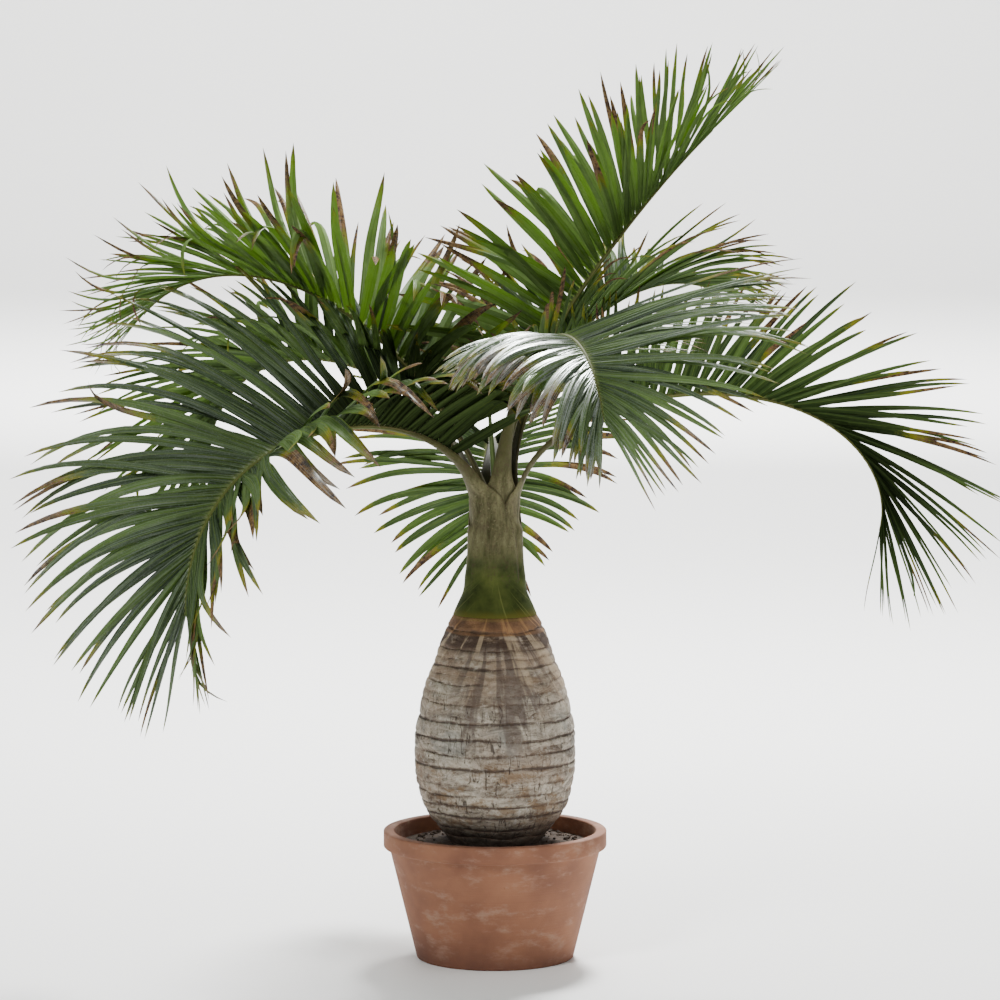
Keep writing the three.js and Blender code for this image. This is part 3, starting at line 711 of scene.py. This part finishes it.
def makeStalk(bm, frond, steps, layer):  # leaf base, leaf stem and midrib in one tapering tube
    sheath = frond["sheath"]
    low = stalk["wrap"][0][0] if sheath else -stalk["seatDepth"]
    length = frond["length"]
    rows = round((length - low) / stalk["rowLength"])
    turn = math.radians(frond["seat"][0])
    outward = Vector((math.cos(turn), math.sin(turn), 0))
    waist = crown["waist"] * frond.get("slim", 1)
    wrapEnd = stalk["wrap"][-1][0]
    deep, shallow = stalk["emerge"]

    def section(v):  # where the middle of a section lies, how it stands, and how wide, thick and bent it is
        q = low + (length - low) * v
        s = max(q, 0) / length
        point, _, up, side = stalkAt(steps, s)
        half, wall = between(stalk["width"], s) / 2, between(stalk["thickness"], s)
        bend = stalk["bend"][-1][1]
        if sheath and q < wrapEnd:
            wrap = smoothRead(stalk["wrap"], q) * (sheath[1] + (1 - sheath[1]) * rise(20, 150, q))
            half = max(wrap, half * rise(0, 60, q))
            wall = smoothRead(stalk["wall"], q) * (1 + (frond.get("thick", 1) - 1) * rise(0, -60, q))
            bend = smoothRead(stalk["bend"], q)
            core = smoothRead(crown["tube"], crown["top"]) - stalk["under"] - waist
            push = core + sheath[0] - frond["seat"][1]
            point = point - up * (push * smoothRead(stalk["push"], q))
        if q < 0:
            height = crown["top"] + q
            start = steps[0][0]
            up, side = -outward, Vector((0, 0, 1)).cross(outward)
            point = start + Vector((0, 0, q))
            if sheath:
                bend = smoothRead(crown["tube"], height) - stalk["under"] + sheath[0] * rise(deep, shallow, q)
                bend -= 2 * rise(shallow, deep, q) + waist * rise(-85, -45, q)
                point = Vector((0, 0, soil["level"] + height)) + outward * bend
                join = rise(-25, 0, q)
                up, side = up.lerp(steps[0][2], join).normalized(), side.lerp(steps[0][3], join).normalized()
        return point, up, side, half, wall, bend

    def spot(u, v):
        point, up, side, half, wall, bend = section(v)
        turn = 2 * math.pi * u
        arc = half / bend * math.cos(turn)
        inward = up * math.cos(arc) - side * math.sin(arc)
        centre = point + side * (bend * math.sin(arc)) + up * (bend * (1 - math.cos(arc)))
        return (centre + inward * (wall / 2 * math.sin(turn))) * mm

    def note(u, v):  # for the finish: how far out, how much leaf base, how near the margin
        q = low + (length - low) * v
        return (max(q, 0) / length, rise(170, 0, q), abs(math.cos(2 * math.pi * u)), 0)

    for face in rolled(bm, stalk["around"], rows, spot, note, layer):
        face.smooth = True
        face.material_index = 1


def makeBladePattern():  # one flat leaflet: x across, y along, z tells its upper side from its lower
    bm = bmesh.new()
    uvs = bm.loops.layers.uv.new("blade")
    bm.verts.layers.float_color.new("leaf")
    bmesh.ops.create_grid(bm, x_segments=leaflet["across"], y_segments=leaflet["rows"], size=0.5,
                          calc_uvs=True)
    bmesh.ops.scale(bm, verts=bm.verts, vec=(2, 1, 1))
    bmesh.ops.translate(bm, verts=bm.verts, vec=(0, 0.5, 0))
    lower = bmesh.ops.duplicate(bm, geom=bm.faces[:])["geom"]
    lowerFaces = [item for item in lower if isinstance(item, bmesh.types.BMFace)]
    bmesh.ops.reverse_faces(bm, faces=lowerFaces)
    for face in lowerFaces:
        for loop in face.loops:
            loop[uvs].uv.x += 1
    lowerVerts = {vert for face in lowerFaces for vert in face.verts}
    for vert in bm.verts:
        if not vert.is_boundary:
            vert.co.z = -1 if vert in lowerVerts else 1
    rim = [vert for vert in bm.verts if vert.co.z == 0]
    tip = [vert for vert in rim if vert.co.y > 0.999]
    bmesh.ops.scale(bm, verts=tip, vec=(0, 1, 1))
    bmesh.ops.remove_doubles(bm, verts=rim, dist=0.0001)
    bmesh.ops.recalc_face_normals(bm, faces=bm.faces)
    for face in bm.faces:
        face.smooth = True
    for edge in bm.edges:
        middle = all(abs(vert.co.x) < 0.001 for vert in edge.verts)
        edge.smooth = not (middle or len({vert.co.z for vert in edge.verts}) == 1 and edge.verts[0].co.z == 0)
    pattern = bpy.data.meshes.new("blade_pattern")
    bm.to_mesh(pattern)
    bm.free()
    return pattern


def handOf(frond, hand):  # what this hand's leaflets have otherwise than the frond's lists say
    even = {
        "reach": 1, "angle": 1, "droop": 1, "wide": 1, "lift": 0, "dry": 0, "tone": 0, "shine": 0,
        "curl": frond["curl"], "strap": frond.get("strap", 0),
    }
    uneven = frond.get("uneven", {})
    return even | uneven if uneven.get("hand") == hand else even


def bladePath(frond, steps, seed, i, hand):  # points along a leaflet, with its width and upper side there
    share = (i + 0.5 + (leaflet["handShift"] if hand < 0 else 0)) / frond["count"]
    u = min(max(share, 0), 1)
    s = frond["first"] + (1 - frond["first"]) * (u ** leaflet["crowding"] + min(share, 0))
    point, forward, baseUp, baseSide = stalkAt(steps, s)
    roll = math.radians(through(frond["roll"], u))
    up = baseUp * math.cos(roll) + baseSide * math.sin(roll)
    side = baseSide * math.cos(roll) - baseUp * math.sin(roll)
    own = handOf(frond, hand)
    key = 2 * i + (1 if hand > 0 else 0)
    angle = through(frond["angle"], u) * own["angle"] + leaflet["angleSpread"] * (draw(key, seed) - 0.5)
    bunch = math.floor(i / leaflet["bunch"])
    wander = leaflet["bunchSpread"] * (draw(bunch * hand, seed + 13) - 0.5)
    middle = (bunch + 0.5 + wander) * leaflet["bunch"]
    angle += leaflet["gather"] * (i - middle)
    lift = through(frond["lift"], u) + own["lift"] + leaflet["liftSpread"] * (draw(key, seed + 1) - 0.5)
    angle, lift = math.radians(angle), math.radians(lift)
    reach = through(frond["reach"], u) * own["reach"] * between(leaflet["reachRange"], draw(key, seed + 2))
    droop = through(frond["droop"], u) * own["droop"] * between(leaflet["droopRange"], draw(key, seed + 3))
    strength, straight = leaflet["curled"] if draw(key, seed + 4) < own["curl"] else leaflet["plain"]
    curl = strength * (draw(key, seed + 5) - straight)
    sway = leaflet["sway"] * (draw(key, seed + 6) - 0.5)
    outward = forward * math.cos(angle) + side * (math.sin(angle) * hand * math.cos(lift)) + up * (
        math.sin(angle) * math.sin(lift))
    place = point + side * (leaflet["rootOffset"] * hand * between(stalk["width"], s))
    path = []
    rows = leaflet["rows"]
    width = forward * -hand
    for n in range(rows + 1):
        t = (n + 0.5) / rows
        along = (outward + Vector((0, 0, -droop * t ** leaflet["droopGathering"]))).normalized()
        width = (width - along * width.dot(along)).normalized()
        across = Matrix.Rotation(math.radians(through(leaflet["twist"], t)) * hand, 3, along) @ width
        bent = Matrix.Rotation(curl * rise(0.5, 1, t) * hand, 3, across) @ along
        bent = Matrix.Rotation(sway * math.sin(3 * t), 3, along.cross(across)) @ bent
        path.append((place.copy(), across, bent.cross(across).normalized()))
        place = place + bent * (reach / rows)
    return u, key, path


def makeLeaflets(bm, frond, steps, seed, pattern, layer):
    stride = frond.get("stride", leaflet["stride"])
    places = [stride * place for place in range(-frond.get("early", 0), math.ceil(frond["count"] / stride))]
    places += [i + stride / 2 for i in places if i > frond["count"] * frond.get("packed", 1)]
    for i in places:
        for hand in (1, -1):
            u, key, path = bladePath(frond, steps, seed, i, hand)
            own = handOf(frond, hand)
            half = leaflet["halfWidth"] * frond.get("wide", 1) * own["wide"]
            half *= 1 + leaflet["widthSpread"] * (draw(key, seed + 7) - 0.5)
            half *= 1 - leaflet["endLoss"] * rise(0.8, 1, u)
            half *= 1 - frond.get("thin", 0) * rise(0.4, 0.8, u)
            tone = frond["tone"] + own["tone"] + leaflet["toneSpread"] * (draw(key, seed + 8) - 0.5)
            tone = min(max(tone, 0), 1)
            dry = leaflet["dryTip"] + own["dry"] * draw(key, seed + 12)
            if draw(key, seed + 10) < frond["burn"]:
                dry += leaflet["dryMore"] * draw(key, seed + 9) ** 2 + leaflet["dryTip"]
            shine = frond.get("shine", 0.02) + own["shine"]
            first = len(bm.verts)
            bm.from_mesh(pattern)
            bm.verts.ensure_lookup_table()
            for vert in bm.verts[first:]:
                a, t, layerSide = vert.co
                place, across, over = path[round(t * leaflet["rows"])]
                width = smoothRead(leaflet["outline"], t)
                width = half * (width + own["strap"] * (smoothRead(leaflet["strap"], t) - width))
                fold = smoothRead(leaflet["fold"], t) * frond.get("fold", 1)
                height = leaflet["ridge"] * (1 - t) - abs(a) * width * fold
                height += layerSide * leaflet["thick"] * (1.6 - abs(a)) * (1 - 0.6 * t)
                vert.co = (place + across * (a * width) + over * height) * mm
                vert[layer] = (tone, dry, draw(key, seed + 11), shine)


def makeLeafletFinish():
    leaf = Finish("leaflet")
    here = leaf.place()
    blade = leaf.split(leaf.add("ShaderNodeUVMap", {"uv_map": "blade"}, {})["UV"])
    marks = leaf.add("ShaderNodeAttribute", {"attribute_name": "leaf"}, {})
    notes = leaf.split(marks["Vector"])
    tone, dry, chance, shine = notes["X"], notes["Y"], notes["Z"], marks["Alpha"]
    under = leaf.ease(blade["X"], 0.999, 1.001)
    across = abs((blade["X"] - under) * 2 - 1)
    along = blade["Y"]
    lines = leaf.add("ShaderNodeCombineXYZ", {}, {
        "X": blade["X"] * 11 + chance * 40, "Y": along * 1.4, "Z": chance})["Vector"]
    vein = leaf.grain(lines, 1, 2, 0.5)
    mottle = leaf.grain(here, 38, 4, 0.6)
    dark = leaf.mix(mottle, shade(38, 52, 36), shade(74, 90, 66))
    bright = leaf.mix(mottle, shade(92, 126, 66), shade(158, 188, 110))
    # deep: how far a point lies in painted shade, near the places where leaflets shade one another
    light = 1
    for centre, near, far in leaflet["shades"]:
        light = leaf.ease(leaf.distance(here, centre), near, far) * light
    deep = 1 - light
    brim = leaf.ease(across, 0.82, 1) * leaf.ease(along, 0.3, 0.6)
    colour = leaf.coats(
        leaf.mix(tone, dark, bright),
        (under * 0.4, (72, 98, 36)),
        (leaf.ease(vein, 0.5, 0.7) * 0.4, (104, 124, 74)),
        (leaf.ease(vein, 0.48, 0.34) * 0.5, (18, 28, 10)),
        # painted shade: one half of the folded blade is darker, and so is the foot where the leaflets crowd
        (leaf.ease(blade["X"] - under, 0.46, 0.54) * 0.22, (20, 32, 14)),
        (leaf.ease(along, 0.5, 0.05) * 0.32, (20, 34, 14)),
        # painted shadow on the edges near the stalk, where neighbouring leaflets overlap
        (leaf.ease(across, 0.6, 1) * leaf.ease(along, 0.6, 0.3) * 0.6, (14, 24, 10)),
        (leaf.ease(across, 0.14, 0.02) * 0.5, (104, 124, 58)),  # midrib
        (brim * 0.55, (124, 150, 54)),  # thin bright edge
        (leaf.ease(along, 0.035, 0) * 0.6, (128, 136, 84)),  # pale swollen root
        # painted shade in the crown and where leaflets shade one another
        (deep * 0.66, (17, 26, 10)))
    # dry tips: yellow, then brown, then blotched purple-brown
    scorch = leaf.grain(here, 95, 4, 0.7)
    edge = (along + (scorch - 0.5) * 0.3 + across * 0.05 - (1 - dry)) / 0.14
    brown = leaf.blotches(scorch, 0.38, 0.64, (48, 36, 38), (130, 104, 66), (84, 63, 54))
    colour = leaf.coats(colour, (leaf.ease(edge, -0.7, 0.1) * 0.85, (128, 126, 34)))
    colour = leaf.mix(leaf.ease(edge, 0, 0.6), colour, brown)
    # the same painted shade again, over the dry tips
    colour = leaf.coats(colour, (deep * 0.42, (24, 26, 14)))
    green = 1 - leaf.ease(edge, 0, 0.8)
    veined = leaf.relief(vein, 0.5, 0.001)
    body = leaf.surface({"Base Color": colour, "Roughness": 0.7, "Specular IOR Level": 0, "Normal": veined})
    glint = leaf.surface({
        "Base Color": shade(226, 232, 228), "Metallic": 1, "Roughness": 0.36, "Normal": veined})
    speck = leaf.ease(leaf.grain(here, 300, 2), 0.5, 0.75)
    streak = leaf.ease(leaf.grain(lines, 1.5, 4, 0.7) + 0.1 * speck, 0.46, 0.62) * (1 - deep) * shine
    body = leaf.add("ShaderNodeMixShader", {}, {0: streak, 1: body, 2: glint})["Shader"]
    # sunlight comes through the green part, most in the bright leaflets
    glow = leaf.add("ShaderNodeBsdfTranslucent", {}, {"Color": shade(130, 156, 74)})["BSDF"]
    sheer = green * (1 - deep) * (0.12 + 0.44 * tone)
    return leaf.close(leaf.add("ShaderNodeMixShader", {}, {0: sheer, 1: body, 2: glow})["Shader"])


def makeStalkFinish():
    stem = Finish("leaf stem")
    here = stem.place()
    height = stem.split(here)["Z"] * 1000 - soil["level"]
    notes = stem.split(stem.add("ShaderNodeAttribute", {"attribute_name": "leaf"}, {})["Vector"])
    along, base, margin = notes["X"], notes["Y"], notes["Z"]
    sheath, fibre = baseColour(stem, here, height)
    rib = stem.coats(stem.mix(stem.grain(here, 40, 4), shade(44, 46, 20), shade(78, 80, 40)),
                     (stem.ease(along, 0.18, 0.4) * 0.8, (100, 112, 54)))
    scurf = stem.ease(stem.grain(here, 210, 3), 0.52, 0.66) * stem.ease(along, 0.3, 0.05)
    # painted shade on the stems around the middle of the crown
    heart = stem.ease(stem.distance(here, stalk["heart"]), 0.13, 0.05)
    colour = stem.coats(
        stem.mix(base, rib, sheath),
        (stem.ease(base, 0.99, 0.7) * 0.45, (58, 56, 30)), (stem.ease(margin, 0.95, 1) * 0.5, (120, 108, 76)),
        (scurf * 0.5, (76, 60, 46)), (heart * 0.8, (30, 30, 18)))
    return stem.close(stem.surface({
        "Base Color": colour, "Roughness": 0.7, "Specular IOR Level": 0.12,
        "Normal": stem.relief(fibre, 0.2, 0.0015)}))


def makeFronds(leafletFinish, stemFinish):
    pattern = makeBladePattern()
    for n, (name, frond) in enumerate(fronds.items()):
        steps = walkStalk(frond)
        bm = bmesh.new()
        bm.loops.layers.uv.new("blade")
        layer = bm.verts.layers.float_color.new("leaf")
        makeLeaflets(bm, frond, steps, 7 * n + 3, pattern, layer)
        makeStalk(bm, frond, steps, layer)
        keepPiece(name + "_leaf", bm, [leafletFinish, stemFinish], name)


# spear leaf

# lean: how far its tip stands aside; pleatDepth, shape: shares of its radius
spear = {
    "radius": 6, "rise": 210, "lean": (-14, -7), "around": 20, "rows": 30, "pleats": 5, "pleatDepth": 0.09,
    "shape": [(-38, 0.9), (0, 1), (126, 0.7), (180, 0.34), (210, 0.03)],
}


def makeSpear():
    young = Finish("young leaf")
    lines = young.grain(young.place((1, 1, 0.04)), 260, 2)
    colour = young.mix(lines, shade(48, 66, 24), shade(92, 112, 48))
    finish = young.close(young.surface({
        "Base Color": colour, "Roughness": 0.45, "Normal": young.relief(lines, 0.3, 0.001)}))
    bm = bmesh.new()
    layer = bm.verts.layers.float_color.new("leaf")

    def spot(u, v):
        level = (spear["rise"] + stalk["seatDepth"]) * v - stalk["seatDepth"]
        share = max(level, 0) / spear["rise"]
        turn = 2 * math.pi * u
        radius = spear["radius"] * smoothRead(spear["shape"], level)
        radius *= 1 + spear["pleatDepth"] * math.sin(spear["pleats"] * turn + 2.5 * v)
        return Vector((spear["lean"][0] * share + radius * math.cos(turn),
                       spear["lean"][1] * share + radius * math.sin(turn),
                       soil["level"] + crown["top"] + level)) * mm

    rolled(bm, spear["around"], spear["rows"], spot, lambda u, v: (v, 0, 0, 1), layer)
    smoothFaces(bm)
    keepPiece("folded_spear", bm, [finish], "spear_leaf")


# stage, light and camera

# in metres: the floor runs from front to wallStart and bends up into a low wall; air: light from all round
studio = {"halfWidth": 32, "front": 32, "wallStart": 21, "wallBend": 3, "wallHeight": 3, "air": 0.38}


def makeStage():
    paper = Finish("plain floor")
    finish = paper.close(paper.surface({"Base Color": shade(244, 244, 242), "Roughness": 0.9}))
    bm = bmesh.new()
    bmesh.ops.create_grid(bm, x_segments=2, y_segments=60, size=1)
    bend = studio["wallBend"]
    whole = studio["front"] + studio["wallStart"] + bend * math.pi / 2 + studio["wallHeight"]
    for vert in bm.verts:
        run = (vert.co.y + 1) / 2 * whole - studio["front"]
        past = run - studio["wallStart"]
        arc = min(max(past / bend, 0), math.pi / 2)
        y = min(run, studio["wallStart"]) + bend * math.sin(arc)
        z = bend * (1 - math.cos(arc)) + max(past - bend * math.pi / 2, 0)
        vert.co = (vert.co.x * studio["halfWidth"], y, z)
    smoothFaces(bm)
    mesh = bpy.data.meshes.new("floor")
    bm.to_mesh(mesh)
    bm.free()
    mesh.materials.append(finish)
    floor = bpy.data.objects.new("floor", mesh)
    bpy.context.scene.collection.objects.link(floor)


lights = {
    "sun": {"place": (0.9, 4.1, 5.6), "aim": (0, 0, 1.2), "size": 1.3, "power": 1250},
    "key": {"place": (-3.4, -5.2, 5.6), "aim": (0, 0, 1.0), "size": 1.8, "power": 390},
    "fill": {"place": (5.0, -5.5, 3.0), "aim": (0, 0, 0.8), "size": 3.5, "power": 60},
    "ceiling": {"place": (0, 11, 8), "aim": (0, 13, 0), "size": 9, "power": 2500},
    "wall": {"place": (0, 12, 7), "aim": (0, 24, 3), "size": 9, "power": 2300},
}


def makeLights():
    world = bpy.data.worlds.new("studio air")
    bpy.context.scene.world = world
    world.use_nodes = True
    background = world.node_tree.nodes["Background"]
    background.inputs["Color"].default_value = (1, 1, 1, 1)
    background.inputs["Strength"].default_value = studio["air"]
    for name, values in lights.items():
        lamp = bpy.data.lights.new(name, "AREA")
        lamp.energy = values["power"]
        lamp.size = values["size"]
        lamp.shape = "DISK"
        holder = bpy.data.objects.new(name, lamp)
        bpy.context.scene.collection.objects.link(holder)
        aim = Vector(values["aim"]) - Vector(values["place"])
        facing = aim.to_track_quat("-Z", "Y").to_matrix().to_4x4()
        holder.matrix_world = Matrix.Translation(values["place"]) @ facing


# down: by how many degrees the camera looks down
view = {"place": (0.010, -9.9556, 1.999), "down": 6.145, "lens": 180, "sensor": 36, "farthest": 60}


def makeCamera():
    lens = bpy.data.cameras.new("camera")
    lens.lens = view["lens"]
    lens.sensor_width = view["sensor"]
    lens.clip_end = view["farthest"]
    camera = bpy.data.objects.new("camera", lens)
    bpy.context.scene.collection.objects.link(camera)
    camera.matrix_world = Matrix.Translation(view["place"]) @ Matrix.Rotation(
        math.radians(90 - view["down"]), 4, "X")
    bpy.context.scene.camera = camera


makePot(makeClay())
makeSoil(makeSoilFinish())
makeTrunk(makeBark())
makeCrownCore(makeBaseFinish())
makeFronds(makeLeafletFinish(), makeStalkFinish())
makeSpear()
makeStage()
makeLights()
makeCamera()
print("pieces, light and camera made")
